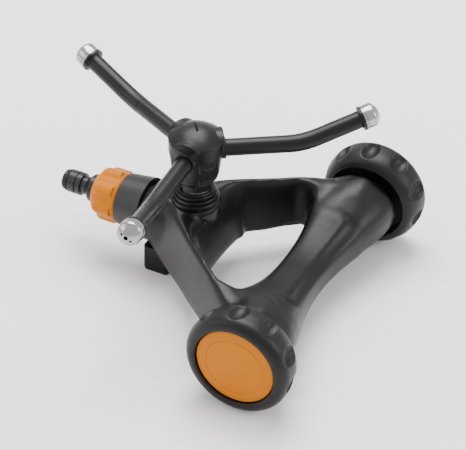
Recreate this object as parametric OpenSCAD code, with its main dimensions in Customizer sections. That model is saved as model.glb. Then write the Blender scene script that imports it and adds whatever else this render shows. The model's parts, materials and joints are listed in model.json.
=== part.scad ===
// Three-arm rotary lawn sprinkler on a two-wheeled base with a front foot.
// Millimetres. +Z is up, +X runs from the hose inlet to the wheels, +Y points to the left wheel.
// The origin is on the ground, straight below the axis of the rotor.

/* [Wheels] */
// Radius of the wheels over the tread
wheel_r = 36.4; // [34:0.1:38]
// Distance from the rotor axis back to the wheel axles
axle_x = 87; // [84:0.5:92]
// Half the track, rotor axis to the middle of a wheel
track_half = 99; // [98:0.5:104]
// Width of a wheel
wheel_w = 26; // [24:0.5:27]
// Number of scoops round the tread
scoops = 10; // [6:1:14]
// Radius of the coloured wheel cap
cap_r = 27.3; // [25.5:0.1:27.4]

/* [Base] */
// Height of the flat underside above the ground
base_z = 20; // [18:0.5:21]
// Highest point of the base, where the turret rings sit
base_top = 66; // [65.5:0.5:67]
// Outward distance of the leg's outer wall from the hub, square to the leg
leg_out = 27.6; // [26:0.2:29]
// Plan angle of each leg from the centre line
leg_ang = 38.4; // [37:0.2:40]
// Radius of the round ends that carry the wheels
end_r = 25.2; // [24:0.1:25.4]
// Where those round ends stop, from the centre line
end_y = 84; // [83:0.25:84.5]
// Rear face of the crossbar at its narrow middle
waist_rear = 96; // [94:0.5:98]
// Front face of the crossbar at its narrow middle
waist_front = 65; // [64:0.5:68]
// Top of the crossbar at its narrow middle
waist_top = 42.5; // [41:0.5:45]
// Depth of the crease that runs along the crossbar
crease = 3.4; // [1:0.1:4]

/* [Inlet] */
// Height of the inlet axis above the ground
inlet_z = 46; // [45:0.25:47]
// Radius of the inlet housing where the nut meets it
stub_r = 18; // [17.5:0.1:18.5]
// Radius of the union nut between its lobes
nut_r = 18.2; // [17.6:0.1:18.6]
// Number of grip lobes on the union nut
nut_lobes = 7; // [5:1:9]
// Turn of the nut's first lobe
nut_turn = 20; // [0:5:60]
// Radius of the hose connector's barrel
spigot_r = 8; // [7.8:0.05:8.2]

/* [Rotor] */
// Height of the arms' straight part above the ground
arm_z = 105.8; // [105:0.2:107]
// Direction of the first arm, from +X towards +Y
arm_phase = 34.5; // [0:0.5:120]
// Radius of an arm tube
arm_r = 5.85; // [5.6:0.05:6]
// Distance from the rotor axis to the arm's bend
arm_straight = 71.3; // [66:0.5:76]
// Distance from the bend to the nozzle flange
arm_tip = 43; // [38:0.5:48]
// Angle of the bend
arm_bend = 19.7; // [10:0.5:25]
// Roll of the bent part, 90 is straight up and 0 is sideways
arm_roll = 65; // [40:1:90]
// Radius of the bend
bend_r = 60; // [40:1:70]
// Radius of the rotor hub
hub_r = 18.6; // [18.2:0.1:19]
// Height of the seam between rotor hub and rotor cap
seam_z = 115; // [114:0.25:115.5]
// Radius of a nozzle cap
nozzle_r = 8.1; // [7.9:0.05:8.2]

/* [Hidden] */
$fn = 64;
e = 0.01;
axle_z = wheel_r;
black = [0.13, 0.13, 0.13];
grey = [0.2, 0.2, 0.2];
orange = [0.89, 0.52, 0.1];
metal = [0.78, 0.78, 0.76];

// ---------- helpers ----------
function lerp(a, b, t) = a + (b - a) * t;
function clamp01(t) = max(0, min(1, t));
function ease(t) = let (c = clamp01(t)) c * c * (3 - 2 * c);
function flat(l) = [for (a = l) for (b = a) b];
function spow(v, p) = sign(v) * pow(abs(v), p);

// Turns +Z into +X, or into +Y.
module along_x() { rotate([0, 90, 0]) children(); }
module along_y() { rotate([-90, 0, 0]) children(); }
module both_sides() { children(); mirror([0, 1, 0]) children(); }
module ring(r_out, r_in, h) {
    difference() {
        cylinder(r = r_out, h = h);
        translate([0, 0, -1]) cylinder(r = r_in, h = h + 2);
    }
}
module torus(big, small) { rotate_extrude() translate([big, 0]) circle(r = small); }

// ---------- base ----------
// The shell is one closed skin: a ring of upright sections round the opening. Half the ring is
// worked out on +Y (crossbar, wheel end, leg, nose) and the other half is its mirror image.
ring_n = 28;
leg_c = cos(leg_ang);
leg_s = sin(leg_ang);
function cap_curve(q, p) = pow(1 - pow(min(0.9999, q), 2 / p), p / 2);

// Crossbar section at a distance y from the middle: share of the round end, centre, half sizes, squareness.
function bar_mix(y) = let (s = abs(y) / 68) clamp01(s * s / pow(1 + pow(s, 8), 0.25) * 1.055);
function bar_cx(y) = lerp((waist_rear + waist_front) / 2, axle_x, bar_mix(y));
function bar_cz(y) = lerp((base_z + waist_top) / 2 - 2, axle_z, bar_mix(y));
function bar_rx(y) = lerp((waist_rear - waist_front) / 2, end_r, bar_mix(y));
function bar_rz(y) = lerp(waist_top - bar_cz(0), end_r, bar_mix(y));
function bar_p(y) = lerp(0.62, 1, bar_mix(y));
function bar_front_p(y) = lerp(0.5, 1, pow(bar_mix(y), 2.5));
function bar_front_rx(y) = bar_rx(y) + 3 * exp(-pow((abs(y) - 52) / 14, 2));
function bar_rear(y, z) = bar_cx(y) + bar_rx(y) * cap_curve(abs(z - bar_cz(y)) / bar_rz(y), bar_p(y));
function bar_cap(x, y) =
    let (ahead = x < bar_cx(y),
        q = abs(x - bar_cx(y)) / (ahead ? bar_front_rx(y) : bar_rx(y)),
        p = ahead ? bar_front_p(y) : bar_p(y))
    bar_cz(y) + bar_rz(y) * (q < 0.9 ? cap_curve(q, p) : cap_curve(0.9, p) - 2 * (q - 0.9));
function bar_point(y, a) =
    let (gap = (a - 50) / 15,
        dip = crease * lerp(1, 0.35, bar_mix(y)) * exp(-gap * gap),
        k = 1 - dip / lerp(15, end_r, bar_mix(y)),
        ahead = cos(a) < 0,
        p = ahead ? bar_front_p(y) : bar_p(y))
    [bar_cx(y) + (ahead ? bar_front_rx(y) : bar_rx(y)) * k * spow(cos(a), p), y,
        max(base_z, bar_cz(y) + bar_rz(y) * k * spow(sin(a), p))];

// Leg: s runs along it and n outwards, square to it.
function leg_at(x, y) = [x * leg_c + y * leg_s, y * leg_c - x * leg_s];
function leg_wall(z) = leg_out - 6 * pow(clamp01((z - base_z) / 46), 1.4);
function leg_top(s) = 64.4 - 4 * ease((s - 15) / 62) - 9 * pow(clamp01((s - 66) / 42), 2);
function leg_cap(x, y) =
    let (q = leg_at(x, abs(y)))
    leg_top(q[0]) - 0.2 * pow(max(0, 13.5 - q[1]), 1.5) - 0.16 * pow(max(0, q[1] - 19), 2);
function nose_cap(x, y) = 64.8 - 0.012 * y * y - 0.004 * pow(min(0, x), 2) - 0.2 * max(0, x - 12);
function top_cap(x, y) = pow(pow(max(0, bar_cap(x, y)), 30) * (x > 40 ? 1 : 0)
    + pow(max(0, leg_cap(x, y)), 30) + pow(max(0, nose_cap(x, y)), 30) * (x < 40 ? 1 : 0), 1 / 30);

// How far a plan ray from [ax, ay] in direction f runs before it leaves the shell at height z.
function rear_exit(ax, ay, f, z, r, k) = k == 0 ? r
    : rear_exit(ax, ay, f, z, (bar_rear(ay + r * sin(f), z) - ax) / cos(f), k - 1);
function exit(ax, ay, f, z) =
    let (q = leg_at(ax, ay)[1],
        nd = cos(f) * -leg_s + sin(f) * leg_c,
        by_rear = f < 78 ? rear_exit(ax, ay, f, z, (100 - ax) / cos(f), 4) : 1000,
        by_face = sin(f) > 0.05 ? (end_y + 10 - ay) / sin(f) : 1000,
        by_leg = nd > 0.05 ? (leg_wall(z) - q) / nd : 1000,
        by_tip = f > 150 ? (ax + 37) / -cos(f) : 1000)
    min(by_rear, by_face, by_leg, by_tip);
// A section from the anchor [ax, ay] outwards along f, up to height top.
function section(ax, ay, f, top) = [for (j = [0:ring_n - 1])
    let (a = j * 360 / ring_n,
        u = spow(cos(a), 0.62),
        v = spow(sin(a), sin(a) > 0 ? 0.75 : 0.5),
        z0 = max(base_z, lerp(base_z - 5, top, (v + 1) / 2)),
        lean = 8.5 * clamp01(0.3 + (f - turn) / 18) * clamp01((58 - z0) / 38) * ease((44 - ax) / 14),
        r = lerp(-lean, exit(ax, ay, f, min(z0, 57)), (u + 1) / 2),
        x = ax + r * cos(f), y = ay + r * sin(f))
    [x, y, min(z0, max(base_z + 1, top_cap(x, y)))]];

turn = 90 + leg_ang;
corner = [51.5, 50, 9.5];
bend_in = [28.5, 24.2, 14];
function half_ring() = concat(
    [for (y = [0:5.6:45]) [for (j = [0:ring_n - 1]) bar_point(y, j * 360 / ring_n)]],
    [for (i = [0:12]) let (f = i * turn / 12)
        section(corner[0] + corner[2] * cos(f), corner[1] + corner[2] * sin(f), f, lerp(58, 62, ease(i / 5)))],
    [for (i = [1:6]) let (s = lerp(71.5, 38, i / 6), n = lerp(15.9, 15.4, i / 6))
        section(s * leg_c - n * leg_s, s * leg_s + n * leg_c, turn, leg_top(s) + 0.4)],
    [for (i = [0:4]) let (f = lerp(turn, 180, (i + 0.5) / 5))
        section(bend_in[0] + bend_in[2] * cos(f), bend_in[1] + bend_in[2] * sin(f), f, 65)],
    [for (y = [22:-4.4:0]) section(14.5, y, 180, 65.2)]);
module shell_skin() {
    half = half_ring();
    m = len(half);
    rings = concat(half, [for (i = [m - 2:-1:1]) [for (p = half[i]) [p[0], -p[1], p[2]]]]);
    n = ring_n;
    t = len(rings);
    polyhedron(points = flat(rings), faces = [for (i = [0:t - 1], j = [0:n - 1])
        let (k = (j + 1) % n, h = (i + 1) % t)
        each [[i * n + j, i * n + k, h * n + k], [i * n + j, h * n + k, h * n + j]]]);
}

// Plan strips, in a leg's own frame.
module leg_strip(s0, s1, nn, r, z0, h) {
    rotate([0, 0, leg_ang]) translate([0, nn, z0]) {
        translate([s0, 0.15 - r, 0]) cube([s1 - s0, 2 * r - 0.3, h]);
        for (s = [s0, s1]) translate([s, 0, 0]) cylinder(r = r, h = h, $fn = 32);
    }
}
module bar_strip(half, x, r, z0, h) {
    translate([x - r + 0.15, -half, z0]) cube([2 * r - 0.3, 2 * half, h]);
    for (k = [-1, 1]) translate([x, k * half, z0]) cylinder(r = r, h = h, $fn = 32);
}
module cover_plan(r, z0, h) {
    both_sides() leg_strip(14, 92, leg_out - 6.2, r, z0, h);
    bar_strip(68, axle_x - 6.5, r + 4, z0, h);
    translate([-4.2 - r, -24, z0]) cube([14 + 2 * r, 48, h]);
    both_sides() translate([60.5, 71.6 - r, z0]) cube([20, 2 * r - 0.7, h]);
}
// Where the cover's screws go: nose, mid-leg, wheel ends and crossbar.
screw_at = concat([[3, 0]], flat([for (k = [-1, 1]) [
    [46 * cos(leg_ang) - (leg_out - 6.2) * sin(leg_ang), k * (46 * sin(leg_ang) + (leg_out - 6.2) * cos(leg_ang))],
    [axle_x - 6.5, k * 60]]]), [[axle_x - 6.5, 0]]);

// Round housing for the inlet, leaning back at its front, and the collar under the turret.
nose_r = 22.2;
module nose_housing() {
    difference() {
        translate([-47, 0, inlet_z]) along_x() cylinder(r = nose_r, h = 52);
        translate([-46, -40, 36]) rotate([0, 27.4, 0]) translate([-40, 0, -20]) cube([40, 80, 80]);
        translate([-60, -40, base_z - 30]) cube([80, 80, 30]);
    }
}
module collar() {
    rotate_extrude() polygon([[0, 50], [13, 50], [17.2, 62.4], [17.2, 65.5], [16.7, base_top], [0, base_top]]);
}
module base_shell() {
    color(black) difference() {
        union() {
            shell_skin();
            nose_housing();
            collar();
        }
        both_sides() translate([20, end_y, 0]) cube([120, 30, 90]);
        translate([0, 0, base_top]) cylinder(r = 17.5, h = 10);
        // seat for the cover plate
        cover_plan(4.2, base_z - 1, 3.5);
        // weight-saving slots, closed by the cover
        both_sides() leg_strip(54, 74, leg_out - 7, 2.6, base_z, 28);
        both_sides() leg_strip(22, 38, leg_out - 9, 2.6, base_z, 28);
        both_sides() translate([axle_x - 14, 12, base_z]) cube([14, 36, 12]);
        for (p = screw_at) translate([p[0], p[1], base_z]) cylinder(r = 1.3, h = 11);
        // inlet housing and riser
        translate([-70, 0, inlet_z]) along_x() cylinder(r = 15.5, h = 82.2);
        translate([-60, 0, inlet_z]) along_x() cylinder(r1 = 17.9, r2 = 20.7, h = 25.4);
        translate([0, 0, inlet_z]) cylinder(r = 11.3, h = 40);
        // seats for the stub axles
        both_sides() translate([axle_x, end_y - 24, axle_z]) along_y() cylinder(r = 6, h = 40);
        // front foot socket
        translate([-32, -8, base_z - 1]) cube([13, 16, 5]);
    }
}
module base_cover() {
    color(grey) difference() {
        cover_plan(3.9, base_z + 0.2, 2.2);
        for (p = screw_at) translate([p[0], p[1], base_z - 1]) {
            cylinder(r = 1.7, h = 6);
            cylinder(r = 3.3, h = 2.2);
        }
    }
}
module cover_screws() {
    color(metal) for (p = screw_at) translate([p[0], p[1], base_z + 0.2]) difference() {
        union() {
            cylinder(r = 2.9, h = 1);
            cylinder(r = 1.3, h = 10);
        }
        translate([0, 0, -1]) cylinder(r = 1, h = 1.7, $fn = 6);
    }
}
module front_foot() {
    color(black) difference() {
        union() {
            translate([-34.5, -11, 2]) {
                translate([2.5, 0, 0]) cube([14, 22, base_z - 2.3]);
                translate([0, 2.5, 0]) cube([19, 17, base_z - 2.3]);
                for (x = [2.5, 16.5], y = [2.5, 19.5]) translate([x, y, 0]) cylinder(r = 2.5, h = base_z - 2.3, $fn = 32);
            }
            translate([-31.8, -7.8, base_z - 1]) cube([12.6, 15.6, 4.7]);
        }
        // lightening pocket behind the pad
        translate([-31, -7.5, 1]) cube([12, 15, 10]);
        translate([-32.6, -9.1, 1]) cube([15.2, 18.2, 2.2]);
    }
}
module foot_pad() {
    color(grey) {
        translate([-34, -10.5, 0]) {
            translate([2, 0, 0]) cube([14, 21, 2]);
            translate([0, 2, 0]) cube([18, 17, 2]);
            for (x = [2, 16], y = [2, 19]) translate([x, y, 0]) cylinder(r = 2, h = 2, $fn = 32);
        }
        translate([-32.4, -8.9, 1]) cube([14.8, 17.8, 2.1]);
    }
}

// ---------- inlet ----------
stub_x = -53.6;
thread_x = -68;
module inlet_body() {
    color(grey) difference() {
        union() {
            translate([thread_x, 0, inlet_z]) along_x() {
                cylinder(r = 12.6, h = 1.2);
                translate([0, 0, 1.2]) cylinder(r = 13.2, h = stub_x - thread_x - 1.2);
            }
            translate([stub_x, 0, inlet_z]) along_x() cylinder(r1 = stub_r, r2 = 20.3, h = 18.6);
            translate([stub_x + 18.6 - e, 0, inlet_z]) along_x() cylinder(r = 15.3, h = 46.6);
            translate([0, 0, inlet_z]) cylinder(r = 11, h = base_top - inlet_z - 0.2);
        }
        translate([thread_x - 1, 0, inlet_z]) along_x() cylinder(r = 7, h = 80);
        translate([stub_x + 1, 0, inlet_z]) along_x() cylinder(r = 9.5, h = 57);
        translate([0, 0, inlet_z]) cylinder(r = 6, h = 30);
    }
}
module spigot_profile() {
    // along the axis from the tip; x is the radius, y the distance
    polygon([[5, 0], [6.4, 0], [7, 0.7], [7, 2], [6, 2], [6, 4.4], [7.6, 4.4], [spigot_r, 4.9],
        [spigot_r, 10], [7.3, 10.2], [7.3, 10.9], [spigot_r, 11.1], [spigot_r, 14.2], [7.6, 14.6],
        [6.4, 14.8], [6.4, 18.3], [9.75, 22], [9.75, 28.7], [12.6, 28.7], [12.6, 31], [5, 31]]);
}
module hose_spigot() {
    color(grey) translate([-101, 0, inlet_z]) along_x() rotate_extrude() spigot_profile();
}
module spigot_oring() {
    color(black) translate([-97.8, 0, inlet_z]) along_x() torus(6.85, 0.85);
}
module hose_washer() {
    color(black) translate([-70, 0, inlet_z]) along_x() ring(12.4, 7, 2);
}
module union_nut() {
    color(orange) translate([-75.5, 0, inlet_z]) along_x() difference() {
        union() {
            rotate_extrude() polygon([[9.85, 0], [11, 0], [12.6, 0.8], [14.6, 2.6], [16, 4.8], [16.8, 7.2], [17.2, 10],
                [17.2, 20.2], [16.4, 21.5], [9.85, 21.5]]);
            // broad grip lobes
            for (k = [0:nut_lobes - 1]) rotate([0, 0, nut_turn + k * 360 / nut_lobes]) translate([nut_r - 4.6, 0, 8.5]) {
                cylinder(r = 5.6, h = 10);
                sphere(r = 5.6);
            }
        }
        translate([0, 0, 2.9]) cylinder(r = 12.75, h = 4.7);
        translate([0, 0, 7.5]) cylinder(r = 13.25, h = 20);
        translate([0, 0, -1]) cylinder(r = 9.8, h = 30);
        translate([0, 0, 21.5 - e]) cylinder(r = 30, h = 10);
    }
}

// ---------- turret and spindle ----------
module turret_ring() {
    color(black) translate([0, 0, base_top]) rotate_extrude() polygon([[6.3, 0.1], [15.9, 0.1], [16.3, 0.6],
        [16.3, 2.6], [15.8, 3.2], [14.9, 3.2], [14.9, 3.8], [15.2, 4.2], [15.2, 5.6], [14.7, 6.1], [13.6, 6.1],
        [13.6, 6.7], [13.9, 7.1], [13.9, 8.2], [13.4, 8.7], [12, 8.7], [11.4, 9.3], [6.3, 9.3]]);
}
module spindle() {
    color(metal) difference() {
        union() {
            translate([0, 0, inlet_z + 4]) cylinder(r = 6, h = 119 - inlet_z - 4.6);
            translate([0, 0, 118.4]) cylinder(r1 = 6, r2 = 5.4, h = 0.6);
        }
        translate([0, 0, inlet_z]) cylinder(r = 3.6, h = 64);
        for (a = [0:60:120]) translate([0, 0, arm_z]) rotate([0, 90, a]) cylinder(r = 2, h = 20, center = true);
        translate([0, 0, 91]) ring(8, 4.35, 1.8);
        translate([0, 0, 115.9]) ring(8, 5, 1.2);
    }
}
module spindle_oring() { color(black) translate([0, 0, 91.9]) torus(5.2, 0.8); }
module thrust_washer() { color(metal) translate([0, 0, base_top + 9.4]) ring(9.5, 6.05, 1.2); }
module retaining_clip() {
    color(metal) translate([0, 0, 116]) difference() {
        ring(8.6, 5.05, 1);
        translate([0, -2, -1]) cube([12, 4, 3]);
    }
}

// ---------- rotor ----------
neck_z = base_top + 10.9;
hub_z = 85.5;
module at_arms() { for (k = [0:2]) rotate([0, 0, arm_phase + 120 * k]) children(); }
module rotor_hub() {
    color(black) difference() {
        union() {
            rotate_extrude() polygon([[0, hub_z], [14.2, hub_z], [15, hub_z + 0.5], [15.3, hub_z + 2.8],
                [14.9, hub_z + 3.2], [15.9, hub_z + 3.6], [17, hub_z + 13.6], [16.7, hub_z + 14], [17.1, hub_z + 14.4],
                [hub_r - 0.4, hub_z + 20], [hub_r - 0.2, seam_z - 0.7], [hub_r - 0.6, seam_z], [0, seam_z]]);
            translate([0, 0, neck_z]) cylinder(r = 10.4, h = hub_z - neck_z + 1);
            translate([0, 0, hub_z - 3.2]) cylinder(r1 = 11.6, r2 = 13, h = 3.3);
            // socket collars and edge ribs
            at_arms() translate([10, 0, arm_z]) along_x() cylinder(r = arm_r + 1.5, h = hub_r - 9);
            at_arms() rotate([0, 0, 33.5]) {
                translate([12.6, -2.6, hub_z - 4.8]) cube([2, 5.2, 6]);
                translate([13.5, -0.55, hub_z + 1.2]) cube([3, 1.1, 12]);
                translate([15.4, -0.55, hub_z + 12.2]) cube([2.9, 1.1, seam_z - hub_z - 13.4]);
            }
        }
        // running bore, water chamber and arm sockets
        translate([0, 0, neck_z - 1]) cylinder(r = 6.06, h = 50);
        translate([0, 0, 98.4]) cylinder(r = 10.2, h = 13.8);
        at_arms() translate([9, 0, arm_z]) along_x() cylinder(r = arm_r, h = 14);
    }
}
module rotor_cap() {
    dome = 8.5;
    color(black) difference() {
        union() {
            rotate_extrude() polygon(concat([[0, seam_z + 0.1], [hub_r - 0.5, seam_z + 0.1], [hub_r, seam_z + 0.6]],
                [for (i = [0:14]) let (a = i * 6 + 3, q = pow(cos(a), 0.9))
                    [hub_r * q, seam_z + 0.9 + (dome - 0.9) * pow(1 - q * q, 0.95)]],
                [[0.4, seam_z + dome], [0, seam_z + dome]]));
            // raised arch over each arm
            at_arms() intersection() {
                translate([11.8, 0, arm_z + 1.4]) along_x() arch_disc();
                translate([0, -20, seam_z + 0.45]) cube([hub_r + 1.2, 40, 20]);
            }
        }
        translate([0, 0, seam_z - 1]) cylinder(r = 12, h = 4);
        translate([0, 0, seam_z + 2.9]) cylinder(r1 = 10, r2 = 8, h = 2.1);
        // a fine radial slit beside each arch
        at_arms() rotate([0, 0, 33.5]) translate([4.5, -0.35, 0]) rotate([0, 18, 0])
            translate([0, 0, seam_z + dome - 2.2]) cube([9.6, 0.7, 4]);
    }
}
module arch_disc() {
    cylinder(r = 12.9, h = 5.6);
    translate([0, 0, 5.6]) cylinder(r1 = 12.9, r2 = 12.1, h = 0.6);
}
// One arm along +X from the hub, bent towards +Z, which is then rolled.
bend_s = bend_r * tan(arm_bend / 2);
module arm_path() {
    translate([10.6, 0, 0]) along_x() cylinder(r = arm_r, h = arm_straight - bend_s - 9.6);
    translate([arm_straight - bend_s, 0, bend_r]) rotate([90, 0, 0]) rotate([0, 0, -90])
        rotate_extrude(angle = arm_bend) translate([bend_r, 0]) circle(r = arm_r + 0.08);
    arm_end() translate([0, 0, bend_s - 1]) cylinder(r = arm_r, h = arm_tip - bend_s);
}
module arm_bore() {
    translate([9, 0, 0]) along_x() cylinder(r = 3.6, h = arm_straight - bend_s - 8);
    translate([arm_straight - bend_s, 0, bend_r]) rotate([90, 0, 0]) rotate([0, 0, -90])
        rotate_extrude(angle = arm_bend) translate([bend_r, 0]) circle(r = 3.7);
    arm_end() translate([0, 0, bend_s - 1]) cylinder(r = 3.6, h = 60);
}
// Local frame of the bent part: origin at the bend, +Z along the bent axis.
module arm_end() { translate([arm_straight, 0, 0]) rotate([0, 90 - arm_bend, 0]) children(); }
module arm_place(k) { rotate([0, 0, arm_phase + 120 * k]) translate([0, 0, arm_z]) rotate([arm_roll - 90, 0, 0]) children(); }
module arm(k) {
    color(black) arm_place(k) difference() {
        union() {
            arm_path();
            // flange and nozzle seat
            arm_end() translate([0, 0, arm_tip - 1.6]) cylinder(r = nozzle_r + 0.25, h = 1.6);
            arm_end() translate([0, 0, arm_tip - 3]) cylinder(r1 = arm_r - 0.3, r2 = 7, h = 1.5);
            arm_end() translate([0, 0, arm_tip]) cylinder(r = 6.3, h = 6.4);
        }
        arm_bore();
        // groove of the socket seal
        translate([13, 0, 0]) along_x() ring(9, 5, 1.6);
    }
}
module arm_a() { arm(0); }
module arm_b() { arm(1); }
module arm_c() { arm(2); }
module arm_orings() { color(black) for (k = [0:2]) arm_place(k) translate([13.8, 0, 0]) along_x() torus(5.16, 0.66); }
module nozzle_seals() {
    color(black) for (k = [0:2]) arm_place(k) arm_end() translate([0, 0, arm_tip + 6.45]) ring(5.6, 3.9, 0.9);
}
// The spray plate's three holes lie in a row towards the lower side of the dome.
hole_turn = [100, 100, 100];
module nozzle_cap(k) {
    color(metal) arm_place(k) arm_end() translate([0, 0, arm_tip + 0.3]) difference() {
        rotate_extrude() polygon([[0, 0], [nozzle_r - 0.3, 0], [nozzle_r, 0.3], [nozzle_r, 1], [nozzle_r - 0.35, 1.3],
            [nozzle_r - 0.35, 1.7], [nozzle_r, 2], [nozzle_r, 6.6], [nozzle_r - 0.5, 7.7], [nozzle_r - 1.5, 8.6],
            [nozzle_r - 1.9, 8.7], [5, 9.9], [3.4, 10.6], [1.7, 11], [0, 11.1]]);
        translate([0, 0, -1]) cylinder(r = 6.35, h = 7.5);
        translate([0, 0, 6.4]) cylinder(r = 5.9, h = 1.4);
        translate([0, 0, 7.7]) cylinder(r1 = 5.9, r2 = 4.6, h = 1.1);
        rotate([0, 0, hole_turn[k]]) {
            translate([2.2, 0, 5]) cylinder(r = 1.45, h = 9, $fn = 32);
            for (s = [-1, 1]) translate([2.2, s * 3.5, 5]) cylinder(r = 0.75, h = 9, $fn = 24);
        }
    }
}
module nozzle_cap_a() { nozzle_cap(0); }
module nozzle_cap_b() { nozzle_cap(1); }
module nozzle_cap_c() { nozzle_cap(2); }

// ---------- wheels ----------
// Everything for a wheel is drawn on +Y; the other side is its mirror image.
module at_wheel(side) { mirror([0, side > 0 ? 0 : 1, 0]) translate([axle_x, track_half, axle_z]) along_y() children(); }
half_w = wheel_w / 2;
face_r = 28.2;
function tread() = concat(
    [for (i = [0:8]) let (a = i * 11.25) [29.2 + (wheel_r - 29.2) * sin(a), half_w - 7.4 + 7.4 * cos(a)]],
    [for (i = [0:9]) let (a = i * 10) [28.6 + (wheel_r - 28.6) * cos(a), 1.6 - (half_w + 1.6 - 0.6) * sin(a)]]);
module wheel(side) {
    color(black) at_wheel(side) difference() {
        rotate_extrude($fn = 96) polygon(concat(
            [[8, half_w - 7], [8, -9], [11, -9], [11, -2], [26.8, -2], [27.8, -half_w + 0.6], [28, -half_w], [28.6, -half_w]],
            [for (i = [len(tread()) - 1:-1:0]) tread()[i]],
            [[28, half_w - 0.3], [27.7, half_w - 0.8], [27.7, half_w - 4], [25, half_w - 4], [25, half_w - 7]]));
        for (k = [0:scoops - 1]) rotate([0, 0, (k + 0.35) * 360 / scoops]) translate([wheel_r + 1.9, 0, -0.6]) {
            translate([0, 0, -5.2]) cylinder(r = 5.2, h = 9, $fn = 32);
            translate([0, 0, -5.2]) sphere(r = 5.2, $fn = 32);
            translate([0, 0, 3.8]) sphere(r = 5.2, $fn = 32);
        }
    }
}
module wheel_left() { wheel(1); }
module wheel_right() { wheel(-1); }
module wheel_bush(side) { color(grey) at_wheel(side) translate([0, 0, -11]) difference() {
    union() {
        cylinder(r = 8, h = 17.5);
        cylinder(r = 10.4, h = 1.7);
    }
    translate([0, 0, -1]) cylinder(r = 5.05, h = 30);
} }
module wheel_bush_left() { wheel_bush(1); }
module wheel_bush_right() { wheel_bush(-1); }
module wheel_cap(side) {
    color(orange) at_wheel(side) difference() {
        union() {
            translate([0, 0, half_w - 3.9]) rotate_extrude($fn = 96) polygon([[0, 0], [cap_r, 0], [cap_r, 3.3], [cap_r - 0.5, 3.9],
                [cap_r - 1.5, 4.15], [20.6, 4.75], [20.4, 4.55], [20, 4.55], [19.8, 4.8], [14, 5.15], [7, 5.4], [0, 5.5]]);
            // clip ring behind the face
            translate([0, 0, half_w - 6.8]) ring(24.8, 23, 3);
        }
        translate([0, 0, half_w - 4.4]) cylinder(r = 8, h = 1.2);
    }
}
module wheel_cap_left() { wheel_cap(1); }
module wheel_cap_right() { wheel_cap(-1); }
module stub_axle(side) {
    color(metal) at_wheel(side) difference() {
        union() {
            translate([0, 0, end_y - track_half - 22]) cylinder(r = 6, h = 22);
            translate([0, 0, end_y - track_half]) cylinder(r = 9, h = 2.2);
            translate([0, 0, end_y - track_half]) cylinder(r = 5, h = 22);
        }
        translate([0, 0, 0]) cylinder(r = 1.6, h = 20);
    }
}
module stub_axle_left() { stub_axle(1); }
module stub_axle_right() { stub_axle(-1); }
module axle_washers() { color(metal) for (s = [-1, 1]) at_wheel(s) translate([0, 0, 7]) ring(7, 1.7, 1); }
module axle_screws() {
    color(metal) for (s = [-1, 1]) at_wheel(s) translate([0, 0, 8]) difference() {
        union() {
            cylinder(r = 3, h = 1.2);
            translate([0, 0, -7]) cylinder(r = 1.6, h = 7.1);
        }
        translate([0, 0, 0.4]) cylinder(r = 1.2, h = 2, $fn = 6);
    }
}

base_shell();
base_cover();
cover_screws();
front_foot();
foot_pad();
inlet_body();
turret_ring();
spindle();
spindle_oring();
thrust_washer();
retaining_clip();
stub_axle_left();
stub_axle_right();
axle_washers();
axle_screws();
hose_spigot();
spigot_oring();
hose_washer();
union_nut();
rotor_hub();
rotor_cap();
arm_a();
arm_b();
arm_c();
arm_orings();
nozzle_seals();
nozzle_cap_a();
nozzle_cap_b();
nozzle_cap_c();
wheel_left();
wheel_right();
wheel_bush_left();
wheel_bush_right();
wheel_cap_left();
wheel_cap_right();
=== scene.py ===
"""Looks of a wheeled rotary lawn sprinkler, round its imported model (metres, +Z up, +X to the wheels)."""

import json
import logging
import math
from dataclasses import dataclass
from enum import Enum
from typing import Callable, Protocol, Sequence

import bmesh
import bpy
from mathutils import Matrix, Vector


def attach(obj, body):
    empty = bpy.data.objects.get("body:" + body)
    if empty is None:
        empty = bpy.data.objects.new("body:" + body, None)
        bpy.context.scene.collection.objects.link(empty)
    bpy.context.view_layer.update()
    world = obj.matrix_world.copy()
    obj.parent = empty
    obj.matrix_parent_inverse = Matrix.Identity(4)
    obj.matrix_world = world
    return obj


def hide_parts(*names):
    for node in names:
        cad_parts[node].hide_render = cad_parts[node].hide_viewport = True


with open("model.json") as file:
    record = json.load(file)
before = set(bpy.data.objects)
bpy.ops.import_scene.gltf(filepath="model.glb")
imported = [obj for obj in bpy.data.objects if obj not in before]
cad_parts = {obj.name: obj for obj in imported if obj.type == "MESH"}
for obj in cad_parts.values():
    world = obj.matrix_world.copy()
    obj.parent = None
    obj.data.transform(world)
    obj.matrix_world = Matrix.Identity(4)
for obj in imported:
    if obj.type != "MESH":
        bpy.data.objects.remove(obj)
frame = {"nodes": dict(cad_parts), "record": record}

LOG = logging.getLogger("sprinkler")
MM = 0.001
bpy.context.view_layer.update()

Colour = tuple[float, float, float]
FaceTest = Callable[[Vector, Vector], bool]


# ---------------------------------------------------------------- bench tools


def free_hands() -> None:
    """Leaves edit mode and deselects everything."""
    if bpy.context.object and bpy.context.object.mode != "OBJECT":
        bpy.ops.object.mode_set(mode="OBJECT")
    bpy.ops.object.select_all(action="DESELECT")


def take_up(piece: bpy.types.Object) -> None:
    """Makes one piece the only selected and active one.

    Args:
        piece: The object to work on.
    """
    free_hands()
    piece.select_set(True)
    bpy.context.view_layer.objects.active = piece


def settle(piece: bpy.types.Object, angle: float = 35.0) -> bpy.types.Object:
    """Puts a piece's place into its mesh, welds it, turns its faces outwards and shades it.

    Args:
        piece: The object to finish.
        angle: Edges sharper than this many degrees stay sharp.

    Returns:
        The same object.
    """
    take_up(piece)
    bpy.ops.object.transform_apply(location=True, rotation=True, scale=True)
    bpy.ops.object.mode_set(mode="EDIT")
    bpy.ops.mesh.select_all(action="SELECT")
    bpy.ops.mesh.remove_doubles(threshold=2e-6)
    bpy.ops.mesh.normals_make_consistent(inside=False)
    bpy.ops.object.mode_set(mode="OBJECT")
    bpy.ops.object.shade_smooth_by_angle(angle=math.radians(angle))
    return piece


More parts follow.
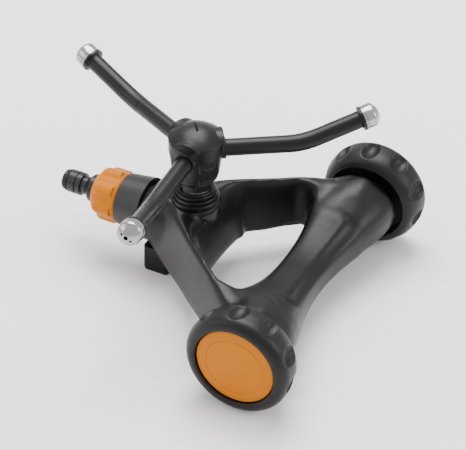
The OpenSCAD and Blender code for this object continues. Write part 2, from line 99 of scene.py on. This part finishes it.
def pick_faces(piece: bpy.types.Object, test: FaceTest) -> int:
    """Enters edit mode and selects just the faces that pass a test.

    Args:
        piece: The object being modelled.
        test: Takes a face's centre and normal, and says whether it is wanted.

    Returns:
        How many faces were selected.
    """
    bpy.ops.object.mode_set(mode="EDIT")
    bpy.ops.mesh.select_mode(type="FACE")
    bpy.ops.mesh.select_all(action="DESELECT")
    sheet = bmesh.from_edit_mesh(piece.data)
    count = 0
    for face in sheet.faces:
        if test(face.calc_center_median(), face.normal):
            face.select_set(True)
            count += 1
    bmesh.update_edit_mesh(piece.data)
    return count


def cad_copy(node: str, name: str) -> bpy.types.Object:
    """A welded copy of a CAD node, with its own mesh.

    Args:
        node: The CAD node's name.
        name: The copy's name.

    Returns:
        The copy, which stands at the origin.
    """
    twin = bpy.data.objects.new(name, frame["nodes"][node].data.copy())
    bpy.context.scene.collection.objects.link(twin)
    twin.data.name = name
    twin.data.materials.clear()
    take_up(twin)
    if twin.data.has_custom_normals:
        bpy.ops.mesh.customdata_custom_splitnormals_clear()
    bpy.ops.object.mode_set(mode="EDIT")
    bpy.ops.mesh.select_all(action="SELECT")
    bpy.ops.mesh.remove_doubles(threshold=2e-6)
    bpy.ops.object.mode_set(mode="OBJECT")
    return twin


def copy_of(piece: bpy.types.Object, name: str) -> bpy.types.Object:
    """A copy of a piece, with its own mesh.

    Args:
        piece: The object to copy.
        name: The copy's name.

    Returns:
        The copy.
    """
    twin = piece.copy()
    twin.data = piece.data.copy()
    twin.name = twin.data.name = name
    bpy.context.scene.collection.objects.link(twin)
    return twin


def modifier(piece: bpy.types.Object, kind: str, **settings: object) -> None:
    """Adds a modifier with its settings and applies it.

    Args:
        piece: The object.
        kind: The modifier's type, such as "BEVEL".
        **settings: The modifier's own values.
    """
    take_up(piece)
    step = piece.modifiers.new(kind.lower(), kind)
    for key, value in settings.items():
        setattr(step, key, value)
    bpy.ops.object.modifier_apply(modifier=step.name)


def mould(node: str, name: str, grain: float, rounds: int, factor: float = 0.5,
          cutter: bpy.types.Object | None = None) -> bpy.types.Object:
    """A moulded skin from a CAD node: one closed surface with every edge softly rounded.

    Args:
        node: The CAD node it stands for.
        name: The new piece's name.
        grain: Mesh spacing in metres.
        rounds: How many times the surface is relaxed; more gives larger radii.
        factor: How strong each round is.
        cutter: A closed object whose shape is taken out first, and which is then thrown away.

    Returns:
        The new piece.
    """
    piece = cad_copy(node, name)
    if cutter is not None:
        modifier(piece, "BOOLEAN", object=cutter, operation="DIFFERENCE", solver="EXACT")
        bpy.data.objects.remove(cutter)
    modifier(piece, "REMESH", mode="VOXEL", voxel_size=grain, adaptivity=0.0)
    modifier(piece, "SMOOTH", factor=factor, iterations=rounds)
    take_up(piece)
    bpy.ops.object.shade_smooth()
    return piece


def turned(name: str, profile: Sequence[tuple[float, float]], sides: int = 96) -> bpy.types.Object:
    """A round piece about Z, raised ring by ring from a short cylinder.

    Args:
        name: The piece's name.
        profile: Radius and height of each ring, upwards; the first two have one radius.
        sides: How many sides it has.

    Returns:
        The piece, in edit mode, with its last ring's face selected.
    """
    free_hands()
    (radius, foot), (_, height) = profile[:2]
    bpy.ops.mesh.primitive_cylinder_add(vertices=sides, radius=radius, depth=height - foot,
                                        end_fill_type="NGON", location=(0.0, 0.0, (height + foot) / 2))
    piece = bpy.context.object
    piece.name = name
    bpy.ops.object.transform_apply(location=True, rotation=False, scale=False)
    pick_faces(piece, lambda centre, normal: normal.z > 0.9)
    grow_rings(profile[1:])
    return piece


def grow_rings(profile: Sequence[tuple[float, float]]) -> None:
    """Extrudes the selected round face through a row of rings.

    Args:
        profile: Radius and height of each ring; the first is the face as it stands.
    """
    for (old_r, old_z), (new_r, new_z) in zip(profile, profile[1:]):
        bpy.ops.mesh.extrude_region_move(TRANSFORM_OT_translate={"value": (0.0, 0.0, new_z - old_z)})
        bpy.ops.transform.resize(value=(new_r / old_r, new_r / old_r, 1.0))


# ---------------------------------------------------------------- finishes


class Slot(Enum):
    """The record's material slots."""

    BLACK_SHELL = "black_shell"
    BLACK_WHEEL = "black_wheel"
    ORANGE = "orange_plastic"
    GREY = "grey_plastic"
    CONNECTOR = "grey_connector"
    SATIN_METAL = "satin_metal"
    PLAIN_METAL = "plain_metal"
    RUBBER = "rubber"


class Finish(Protocol):
    """Anything that can make its own material."""

    def material(self, name: str) -> bpy.types.Material:
        """Makes the material under a name."""


def node_group(name: str, inputs: dict[str, object], outputs: dict[str, str]) -> bpy.types.NodeTree:
    """Starts a shader node group with named sockets.

    Args:
        name: The group's name.
        inputs: Socket name to default value; a number or a colour.
        outputs: Socket name to socket type.

    Returns:
        The node tree, empty but for its input and output nodes.
    """
    tree = bpy.data.node_groups.new(name, "ShaderNodeTree")
    for label, value in inputs.items():
        kind = "NodeSocketColor" if isinstance(value, tuple) else "NodeSocketFloat"
        socket = tree.interface.new_socket(label, in_out="INPUT", socket_type=kind)
        socket.default_value = (*value, 1.0) if isinstance(value, tuple) else value
    for label, kind in outputs.items():
        tree.interface.new_socket(label, in_out="OUTPUT", socket_type=kind)
    tree.nodes.new("NodeGroupInput").name = "in"
    tree.nodes.new("NodeGroupOutput").name = "out"
    return tree


@dataclass
class Wiring:
    """Short-hand for building a node tree."""

    tree: bpy.types.NodeTree

    def node(self, kind: str, **values: object) -> bpy.types.Node:
        """Adds a node; a value whose name is a socket's feeds that socket, any other is a setting.

        Args:
            kind: The node's type.
            **values: Socket values (spaces written as _) and settings.

        Returns:
            The new node.
        """
        made = self.tree.nodes.new(kind)
        for key, value in values.items():
            label = key.replace("_", " ")
            if hasattr(made, key) and label not in made.inputs:
                setattr(made, key, value)
            elif isinstance(value, bpy.types.NodeSocket):
                self.tree.links.new(value, made.inputs[label])
            else:
                made.inputs[label].default_value = value
        return made

    def maths(self, operation: str, *terms: object, clamp: bool = False) -> bpy.types.NodeSocket:
        """Adds a Math node.

        Args:
            operation: Its operation.
            *terms: Sockets or numbers.
            clamp: Whether the result is held between 0 and 1.

        Returns:
            The result's socket.
        """
        made = self.tree.nodes.new("ShaderNodeMath")
        made.operation, made.use_clamp = operation, clamp
        for place, term in enumerate(terms):
            if isinstance(term, bpy.types.NodeSocket):
                self.tree.links.new(term, made.inputs[place])
            else:
                made.inputs[place].default_value = term
        return made.outputs[0]

    def noise(self, where: bpy.types.NodeSocket, scale: object, detail: float = 2.0) -> bpy.types.NodeSocket:
        """Adds a Noise Texture.

        Args:
            where: The coordinates.
            scale: Its scale per metre, a number or a socket.
            detail: Its detail.

        Returns:
            The noise value's socket.
        """
        return self.node("ShaderNodeTexNoise", Vector=where, Scale=scale, Detail=detail).outputs[0]

    def blend(self, share: object, low: object, high: object) -> bpy.types.NodeSocket:
        """Mixes two colours.

        Args:
            share: How much of the second colour.
            low: The first colour, a socket or a colour.
            high: The second colour.

        Returns:
            The mixed colour's socket.
        """
        made = self.tree.nodes.new("ShaderNodeMix")
        made.data_type = "RGBA"
        for place, value in ((0, share), (6, low), (7, high)):
            if isinstance(value, bpy.types.NodeSocket):
                self.tree.links.new(value, made.inputs[place])
            else:
                made.inputs[place].default_value = (*value, 1.0) if isinstance(value, tuple) else value
        return made.outputs[2]


def moulded_skin_group() -> bpy.types.NodeTree:
    """The group for moulded plastic: fine grain, soft mottling, settled dust and faint handling marks.

    Returns:
        The shared node group.
    """
    if "moulded_skin" in bpy.data.node_groups:
        return bpy.data.node_groups["moulded_skin"]
    tree = node_group(
        "moulded_skin",
        {"Colour": (0.02, 0.02, 0.02), "Dust Colour": (0.3, 0.28, 0.25), "Dust": 0.05, "Mottle": 0.2,
         "Roughness": 0.4, "Grain Scale": 2400.0, "Grain Height": 0.00002},
        {"Colour": "NodeSocketColor", "Roughness": "NodeSocketFloat", "Normal": "NodeSocketVector"},
    )
    w = Wiring(tree)
    given, out = tree.nodes["in"].outputs, tree.nodes["out"].inputs
    where = w.node("ShaderNodeTexCoord").outputs["Object"]
    cloud = w.noise(where, 38.0, 4.0)
    fine = w.noise(where, 420.0, 3.0)
    up = w.node("ShaderNodeSeparateXYZ",
                Vector=w.node("ShaderNodeNewGeometry").outputs["Normal"]).outputs["Z"]
    lying = w.maths("MULTIPLY", w.maths("POWER", w.maths("MAXIMUM", up, 0.0), 2.0),
                    w.maths("MULTIPLY", cloud, fine))
    dust = w.maths("MULTIPLY", lying, w.maths("MULTIPLY", given["Dust"], 4.0), clamp=True)
    shade = w.maths("MULTIPLY", w.maths("SUBTRACT", cloud, 0.5), given["Mottle"])
    lit = w.node("ShaderNodeHueSaturation", Color=given["Colour"],
                 Value=w.maths("ADD", shade, 1.0)).outputs[0]
    tree.links.new(w.blend(dust, lit, given["Dust Colour"]), out["Colour"])
    rubbed = w.maths("MULTIPLY", w.maths("SUBTRACT", fine, 0.5), 0.16)
    broad = w.maths("MULTIPLY", w.maths("SUBTRACT", cloud, 0.5), 0.1)
    worn = w.maths("ADD", broad, w.maths("MULTIPLY", dust, 0.3))
    rough = w.maths("ADD", w.maths("ADD", given["Roughness"], rubbed), worn)
    tree.links.new(w.maths("MINIMUM", rough, 0.95, clamp=True), out["Roughness"])
    pits = w.noise(where, given["Grain Scale"], 1.0)
    bump = w.node("ShaderNodeBump", Height=pits, Distance=given["Grain Height"], Strength=1.0)
    tree.links.new(bump.outputs[0], out["Normal"])
    return tree


def turned_metal_group() -> bpy.types.NodeTree:
    """The group for turned metal: fine streaks, small scratches and a slight tarnish.

    Returns:
        The shared node group.
    """
    if "turned_metal" in bpy.data.node_groups:
        return bpy.data.node_groups["turned_metal"]
    tree = node_group(
        "turned_metal",
        {"Colour": (0.6, 0.6, 0.6), "Tarnish Colour": (0.3, 0.28, 0.26), "Tarnish": 0.2, "Roughness": 0.3,
         "Scratch Height": 0.00001},
        {"Colour": "NodeSocketColor", "Roughness": "NodeSocketFloat", "Normal": "NodeSocketVector"},
    )
    w = Wiring(tree)
    given, out = tree.nodes["in"].outputs, tree.nodes["out"].inputs
    where = w.node("ShaderNodeTexCoord").outputs["Object"]
    cloud = w.noise(where, 160.0, 4.0)
    streaks = w.noise(w.node("ShaderNodeMapping", Vector=where, Scale=(0.25, 0.25, 9.0)).outputs[0],
                      900.0, 2.0)
    marks = w.noise(where, 3000.0, 1.0)
    stain = w.maths("MULTIPLY", w.maths("POWER", cloud, 2.0), given["Tarnish"], clamp=True)
    tree.links.new(w.blend(stain, given["Colour"], given["Tarnish Colour"]), out["Colour"])
    rough = w.maths("ADD", given["Roughness"], w.maths("MULTIPLY", w.maths("SUBTRACT", streaks, 0.5), 0.25))
    tree.links.new(w.maths("ADD", rough, w.maths("MULTIPLY", stain, 0.3), clamp=True), out["Roughness"])
    height = w.maths("ADD", streaks, w.maths("MULTIPLY", marks, 0.4))
    bump = w.node("ShaderNodeBump", Height=height, Distance=given["Scratch Height"], Strength=1.0)
    tree.links.new(bump.outputs[0], out["Normal"])
    return tree


def start_material(name: str) -> tuple[bpy.types.Material, Wiring, bpy.types.Node]:
    """A new node material.

    Args:
        name: The material's name.

    Returns:
        The material, its wiring and its Principled BSDF.
    """
    made = bpy.data.materials.new(name)
    made.use_nodes = True
    return made, Wiring(made.node_tree), made.node_tree.nodes["Principled BSDF"]


def join_group(w: Wiring, group: bpy.types.NodeTree, shader: bpy.types.Node,
               values: dict[str, object]) -> None:
    """Places a shared group in a material and feeds the shader from it.

    Args:
        w: The material's wiring.
        group: The shared node group.
        shader: The material's Principled BSDF.
        values: The group's input values.
    """
    placed = w.tree.nodes.new("ShaderNodeGroup")
    placed.node_tree = group
    for label, value in values.items():
        placed.inputs[label].default_value = (*value, 1.0) if isinstance(value, tuple) else value
    for source, target in (("Colour", "Base Color"), ("Roughness", "Roughness"), ("Normal", "Normal")):
        w.tree.links.new(placed.outputs[source], shader.inputs[target])


@dataclass(frozen=True)
class MouldedPlastic:
    """Injection-moulded plastic with a fine satin texture."""

    colour: Colour
    roughness: float
    dust: float = 0.04
    mottle: float = 0.25
    grain_scale: float = 2400.0
    grain_height: float = 0.00002
    specular: float = 0.35

    def material(self, name: str) -> bpy.types.Material:
        """Makes the material.

        Args:
            name: Its name.

        Returns:
            The new material.
        """
        made, w, shader = start_material(name)
        join_group(w, moulded_skin_group(), shader, {
            "Colour": self.colour, "Dust": self.dust, "Mottle": self.mottle, "Roughness": self.roughness,
            "Grain Scale": self.grain_scale, "Grain Height": self.grain_height})
        shader.inputs["Specular IOR Level"].default_value = self.specular
        return made


@dataclass(frozen=True)
class TurnedMetal:
    """Satin turned metal."""

    colour: Colour
    roughness: float
    tarnish: float = 0.25
    scratch_height: float = 0.00001

    def material(self, name: str) -> bpy.types.Material:
        """Makes the material.

        Args:
            name: Its name.

        Returns:
            The new material.
        """
        made, w, shader = start_material(name)
        join_group(w, turned_metal_group(), shader, {
            "Colour": self.colour, "Tarnish": self.tarnish, "Roughness": self.roughness,
            "Scratch Height": self.scratch_height})
        shader.inputs["Metallic"].default_value = 1.0
        return made


FINISHES: dict[Slot, Finish] = {
    Slot.BLACK_SHELL: MouldedPlastic((0.0042, 0.0041, 0.0041), 0.37, dust=0.002, specular=0.24),
    Slot.BLACK_WHEEL: MouldedPlastic((0.0045, 0.0045, 0.0045), 0.42, dust=0.003, grain_height=0.00003,
                                     specular=0.24),
    Slot.ORANGE: MouldedPlastic((0.5, 0.145, 0.0), 0.4, dust=0.0, mottle=0.05, grain_height=0.000012,
                                specular=0.1),
    Slot.GREY: MouldedPlastic((0.012, 0.012, 0.0125), 0.45, dust=0.004),
    Slot.CONNECTOR: MouldedPlastic((0.008, 0.0085, 0.01), 0.34, dust=0.003),
    Slot.SATIN_METAL: TurnedMetal((0.36, 0.355, 0.345), 0.2, tarnish=0.1),
    Slot.PLAIN_METAL: TurnedMetal((0.55, 0.55, 0.55), 0.35, tarnish=0.5),
    Slot.RUBBER: MouldedPlastic((0.005, 0.005, 0.005), 0.62, grain_height=0.00004),
}


class PaintShop:
    """Holds each slot's material, made once."""

    def __init__(self) -> None:
        """Starts with nothing mixed."""
        self._mixed: dict[Slot, bpy.types.Material] = {}

    def mix(self, slot: Slot) -> bpy.types.Material:
        """The slot's material.

        Args:
            slot: The slot.

        Returns:
            Its material.
        """
        if slot not in self._mixed:
            self._mixed[slot] = FINISHES[slot].material(slot.value)
        return self._mixed[slot]

    def dress(self, piece: bpy.types.Object, slot: Slot) -> None:
        """Gives a piece its slot's material all over.

        Args:
            piece: The object.
            slot: The slot.
        """
        piece.data.materials.clear()
        piece.data.materials.append(self.mix(slot))

    def dress_cad(self) -> None:
        """Gives every CAD node the material that its sub-part's slot names."""
        for part in frame["record"]["subparts"]:
            node = frame["nodes"][part["node"]]
            for place in node.material_slots:
                place.material = self.mix(Slot(part["material_slot"]))


SHOP = PaintShop()


def fit(piece: bpy.types.Object, body: str, slot: Slot, *nodes: str) -> bpy.types.Object:
    """Dresses a piece, puts it on its body and lets it stand for CAD nodes.

    Args:
        piece: The finished piece.
        body: The CAD body it rides on.
        slot: The slot of its finish.
        *nodes: The CAD nodes it stands for.

    Returns:
        The same piece.
    """
    SHOP.dress(piece, slot)
    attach(piece, body)
    if nodes:
        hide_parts(*nodes)
    LOG.info("%s on %s: %d faces", piece.name, body, len(piece.data.polygons))
    return piece


# ---------------------------------------------------------------- the sprinkler


@dataclass
class BaseFrame:
    """The triangular moulded frame."""

    grain: float = 1.25 * MM
    rounds: int = 26

    def build(self) -> None:
        """Makes the frame's skin."""
        shell = mould("base_shell", "base_frame_skin", self.grain, self.rounds)
        fit(shell, "base", Slot.BLACK_SHELL, "base_shell")


@dataclass
class RoadWheel:
    """A wheel with scooped tread and a coloured hub plate."""

    side: str
    grain: float = 0.55 * MM
    rounds: int = 1
    scoops: int = 10
    first_scoop: float = 0.35
    scoop_at: float = 38.6 * MM
    scoop_size: tuple[float, float, float] = (6.6 * MM, 6.9 * MM, 10.6 * MM)
    scoop_shift: float = -1.2 * MM
    centre: tuple[float, float, float] = (87.0 * MM, 99.0 * MM, 36.4 * MM)

    def scoop_cutter(self) -> bpy.types.Object:
        """Makes the egg-shaped scoops round the tread.

        Returns:
            One object that holds them all.
        """
        way = 1.0 if self.side == "left" else -1.0
        free_hands()
        bpy.ops.mesh.primitive_uv_sphere_add(segments=40, ring_count=24, radius=1.0)
        first = bpy.context.object
        first.scale = self.scoop_size
        first.location = (self.scoop_at, 0.0, self.scoop_shift)
        bpy.ops.object.transform_apply(location=True, rotation=False, scale=True)
        eggs = [first] + [copy_of(first, f"scoop_{place}") for place in range(1, self.scoops)]
        for place, egg in enumerate(eggs):
            take_up(egg)
            egg.rotation_euler = (0.0, 0.0, (place + self.first_scoop) * math.tau / self.scoops)
            bpy.ops.object.transform_apply(location=False, rotation=True, scale=False)
            egg.rotation_euler = (-math.pi / 2, 0.0, 0.0)
            bpy.ops.object.transform_apply(location=False, rotation=True, scale=False)
            egg.scale = (1.0, way, 1.0)
            egg.location = (self.centre[0], way * self.centre[1], self.centre[2])
        free_hands()
        for egg in eggs:
            egg.select_set(True)
        bpy.context.view_layer.objects.active = eggs[0]
        bpy.ops.object.transform_apply(location=True, rotation=True, scale=True)
        bpy.ops.object.join()
        return settle(eggs[0])

    def build(self) -> None:
        """Makes the wheel's tyre."""
        body = f"wheel_{self.side}"
        tyre = mould(body, f"{body}_tyre", self.grain, self.rounds, cutter=self.scoop_cutter())
        fit(tyre, body, Slot.BLACK_WHEEL, body)


@dataclass
class HubPlates:
    """The coloured plate in each wheel's outer face: a low dome with a fine ring and a rounded rim."""

    radius: float = 27.3 * MM
    back: float = 9.1 * MM
    rim: float = 4.1 * MM
    ring: float = 20.6 * MM
    ring_width: float = 0.5 * MM
    ring_depth: float = 0.22 * MM
    crown: float = 1.3 * MM
    edge: float = 0.9 * MM
    centre: tuple[float, float, float] = (87.0 * MM, 99.0 * MM, 36.4 * MM)

    def plate(self) -> bpy.types.Object:
        """Models one plate, lying on its back at the origin.

        Returns:
            The plate.
        """
        free_hands()
        bpy.ops.mesh.primitive_cylinder_add(vertices=160, radius=self.radius, depth=self.rim,
                                            end_fill_type="NGON", location=(0.0, 0.0, self.rim / 2))
        plate = bpy.context.object
        plate.name = "plate_pattern"
        pick_faces(plate, lambda centre, normal: normal.z > 0.9)
        outer = self.radius - self.ring
        bpy.ops.mesh.inset(thickness=outer, depth=0.35 * self.crown)
        bpy.ops.mesh.inset(thickness=0.3 * self.ring_width, depth=-self.ring_depth)
        bpy.ops.mesh.inset(thickness=0.4 * self.ring_width, depth=0.0)
        bpy.ops.mesh.inset(thickness=0.3 * self.ring_width, depth=self.ring_depth)
        for share in (0.3, 0.2, 0.1):
            bpy.ops.mesh.inset(thickness=0.3 * self.ring, depth=share * self.crown)
        bpy.ops.mesh.select_all(action="DESELECT")
        bpy.ops.object.mode_set(mode="OBJECT")
        modifier(plate, "BEVEL", width=self.edge, segments=4, limit_method="ANGLE",
                 angle_limit=math.radians(60))
        return plate

    def build(self) -> None:
        """Copies the plate to both wheels."""
        pattern = self.plate()
        for side, way in (("left", 1.0), ("right", -1.0)):
            plate = copy_of(pattern, f"wheel_{side}_plate")
            plate.rotation_euler = (-way * math.pi / 2, 0.0, 0.0)
            plate.location = (self.centre[0], way * (self.centre[1] + self.back), self.centre[2])
            settle(plate)
            fit(plate, f"wheel_{side}", Slot.ORANGE, f"wheel_cap_{side}")
        bpy.data.objects.remove(pattern)


@dataclass
class SprayHub:
    """The turning hub with its domed cap."""

    hub_grain: float = 0.37 * MM
    dome_grain: float = 0.3 * MM
    rounds: int = 1
    slit: tuple[float, float, float] = (11.5 * MM, 0.95 * MM, 3.0 * MM)
    slit_at: tuple[float, float, float] = (1.6 * MM, 0.0, 123.5 * MM)
    slit_fall: float = 2.0
    slit_bearing: float = 130.0

    def slit_cutter(self) -> bpy.types.Object:
        """Makes the blade of the fine slit across the dome's top.

        Returns:
            The blade.
        """
        free_hands()
        bpy.ops.mesh.primitive_cube_add(size=1.0)
        blade = bpy.context.object
        turn = Matrix.Rotation(math.radians(self.slit_bearing), 4, "Z")
        fall = Matrix.Rotation(math.radians(self.slit_fall), 4, "Y")
        blade.matrix_world = (turn @ Matrix.Translation(self.slit_at) @ fall
                              @ Matrix.Diagonal((*self.slit, 1.0)))
        return settle(blade)

    def build(self) -> None:
        """Makes the hub's two mouldings."""
        hub = mould("rotor_hub", "spray_hub", self.hub_grain, self.rounds)
        fit(hub, "rotor", Slot.BLACK_SHELL, "rotor_hub")
        dome = mould("rotor_cap", "spray_hub_dome", self.dome_grain, self.rounds, cutter=self.slit_cutter())
        fit(dome, "rotor", Slot.BLACK_SHELL, "rotor_cap")


@dataclass
class NozzleCaps:
    """The turned metal spray caps: a grooved rim, a domed spray plate and a row of three holes."""

    turn: float = -5.0
    radius: float = 8.1 * MM
    cavity: float = 6.4 * MM
    hub_height: float = 105.8 * MM
    arm_reach: float = 71.3 * MM
    arm_end: float = 43.3 * MM
    bend: float = 19.7
    roll: float = -25.0
    first_arm: float = 34.5
    row_offset: float = 2.2 * MM
    row_pitch: float = 3.5 * MM
    hole_radii: tuple[float, float, float] = (0.8 * MM, 1.45 * MM, 0.8 * MM)

    def place(self, spot: int) -> Matrix:
        """Where a cap sits on its arm.

        Args:
            spot: Which arm, counted from 0.

        Returns:
            The matrix from the cap's own frame, with +Z out along the arm's end.
        """
        return (Matrix.Translation((0.0, 0.0, self.hub_height))
                @ Matrix.Rotation(math.radians(self.first_arm + 120.0 * spot), 4, "Z")
                @ Matrix.Rotation(math.radians(self.roll), 4, "X")
                @ Matrix.Translation((self.arm_reach, 0.0, 0.0))
                @ Matrix.Rotation(math.radians(90.0 - self.bend), 4, "Y")
                @ Matrix.Translation((0.0, 0.0, self.arm_end)))

    def drill(self) -> bpy.types.Object:
        """Makes the cutters of the three spray holes.

        Returns:
            One object that holds all three.
        """
        pins = []
        for step, bore in zip((-1.0, 0.0, 1.0), self.hole_radii):
            free_hands()
            bpy.ops.mesh.primitive_cylinder_add(vertices=32, radius=bore, depth=8.0 * MM,
                                                location=(self.row_offset, step * self.row_pitch, 10.0 * MM))
            pins.append(bpy.context.object)
        free_hands()
        for pin in pins:
            pin.select_set(True)
        bpy.context.view_layer.objects.active = pins[0]
        bpy.ops.object.transform_apply(location=True, rotation=True, scale=True)
        bpy.ops.object.join()
        pins[0].rotation_euler = (0.0, 0.0, math.radians(self.turn))
        return settle(pins[0])

    def cap(self) -> bpy.types.Object:
        """Models one cap in its own frame, with its open rim at the origin.

        Returns:
            The cap.
        """
        r = self.radius
        cap = turned("cap_pattern", [
            (r - 0.15 * MM, 0.0), (r - 0.15 * MM, 0.1 * MM), (r, 0.3 * MM), (r, 1.0 * MM),
            (r - 0.4 * MM, 1.25 * MM), (r - 0.4 * MM, 1.75 * MM), (r, 2.0 * MM), (r, 6.5 * MM), (r - 0.25 * MM, 7.2 * MM),
            (r - 0.7 * MM, 7.9 * MM), (r - 1.4 * MM, 8.5 * MM), (r - 1.7 * MM, 8.6 * MM),
            (5.6 * MM, 9.35 * MM), (4.6 * MM, 10.0 * MM), (3.4 * MM, 10.55 * MM),
            (2.2 * MM, 10.88 * MM), (1.0 * MM, 11.05 * MM)])
        pick_faces(cap, lambda centre, normal: normal.z < -0.9 and centre.z < 0.05 * MM)
        grow_rings([(r - 0.15 * MM, 0.0), (self.cavity, 0.0), (self.cavity, 6.5 * MM), (5.9 * MM, 6.5 * MM),
                    (5.9 * MM, 7.7 * MM), (4.6 * MM, 8.8 * MM)])
        settle(cap)
        cutter = self.drill()
        modifier(cap, "BOOLEAN", object=cutter, operation="DIFFERENCE", solver="EXACT")
        bpy.data.objects.remove(cutter)
        return cap

    def build(self) -> None:
        """Copies the cap to the three nozzles."""
        pattern = self.cap()
        for spot, letter in enumerate("abc"):
            cap = copy_of(pattern, f"spray_cap_{letter}")
            cap.matrix_world = self.place(spot)
            settle(cap)
            fit(cap, f"nozzle_{letter}", Slot.SATIN_METAL, f"nozzle_cap_{letter}")
        bpy.data.objects.remove(pattern)


@dataclass
class InletEnd:
    """The union nut at the hose inlet."""

    grain: float = 0.55 * MM
    rounds: int = 5

    def build(self) -> None:
        """Makes the nut."""
        fit(mould("union_nut", "inlet_union_nut", self.grain, self.rounds), "union_nut", Slot.ORANGE,
            "union_nut")


# ---------------------------------------------------------------- studio


@dataclass
class Studio:
    """Floor, lights and camera."""

    azimuth: float = 26.57
    elevation: float = 37.46
    roll: float = 1.35
    distance: float = 1.5403
    aim: tuple[float, float, float] = (0.0135, 0.0302, 0.0275)
    lens: float = 173.3
    floor_half: float = 6.0

    def floor(self) -> None:
        """Lays a pale floor under the wheels and the foot."""
        free_hands()
        bpy.ops.mesh.primitive_plane_add(size=2 * self.floor_half, location=(0, 0, 0))
        floor = bpy.context.object
        floor.name = "studio_floor"
        made, w, shader = start_material("studio_floor")
        where = w.node("ShaderNodeTexCoord").outputs["Object"]
        paleness = w.blend(w.noise(where, 3.0), (0.86, 0.86, 0.86), (0.9, 0.9, 0.9))
        w.tree.links.new(paleness, shader.inputs["Base Color"])
        shader.inputs["Roughness"].default_value = 0.9
        shader.inputs["Specular IOR Level"].default_value = 0.1
        floor.data.materials.append(made)
        settle(floor)

    def lamp(self, name: str, place: Sequence[float], size: float, power: float) -> None:
        """Hangs a square soft light that faces the sprinkler.

        Args:
            name: The light's name.
            place: Where it hangs.
            size: Its side.
            power: Its power in watts.
        """
        data = bpy.data.lights.new(name, "AREA")
        data.size, data.energy = size, power
        lamp = bpy.data.objects.new(name, data)
        bpy.context.scene.collection.objects.link(lamp)
        lamp.location = place
        lamp.rotation_euler = (Vector(self.aim) - Vector(place)).to_track_quat("-Z", "Y").to_euler()

    def light(self) -> None:
        """Sets the soft studio light."""
        world = bpy.data.worlds.new("studio_world")
        bpy.context.scene.world = world
        world.use_nodes = True
        world.node_tree.nodes["Background"].inputs[0].default_value = (1.0, 0.99, 0.98, 1.0)
        world.node_tree.nodes["Background"].inputs[1].default_value = 1.15
        self.lamp("overhead_softbox", (-0.3, 0.5, 1.6), 1.2, 56.0)
        self.lamp("right_softbox", (1.5, 0.3, 0.9), 0.8, 12.0)
        self.lamp("left_fill", (-1.2, -0.9, 0.8), 0.9, 6.0)

    def camera(self) -> None:
        """Stands the camera where the sprinkler is seen from."""
        az, el, roll = (math.radians(v) for v in (self.azimuth, self.elevation, self.roll))
        right = Vector((math.cos(az), math.sin(az), 0.0))
        up = Vector((-math.sin(az) * math.sin(el), math.cos(az) * math.sin(el), math.cos(el)))
        back = right.cross(up)
        data = bpy.data.cameras.new("studio_camera")
        data.lens = self.lens
        camera = bpy.data.objects.new("studio_camera", data)
        bpy.context.scene.collection.objects.link(camera)
        columns = (math.cos(roll) * right + math.sin(roll) * up,
                   math.cos(roll) * up - math.sin(roll) * right, back)
        turn = Matrix(columns).transposed().to_4x4()
        camera.matrix_world = Matrix.Translation(Vector(self.aim) + self.distance * back) @ turn
        bpy.context.scene.camera = camera

    def build(self) -> None:
        """Sets up the whole studio."""
        self.floor()
        self.light()
        self.camera()


def main() -> None:
    """Builds the sprinkler and its studio in order."""
    logging.basicConfig(level=logging.INFO, format="%(name)s: %(message)s")
    SHOP.dress_cad()
    for part in (BaseFrame(), RoadWheel("left"), RoadWheel("right"), HubPlates(), SprayHub(), NozzleCaps(),
                 InletEnd()):
        part.build()
    Studio().build()


if __name__ == "__main__":
    main()
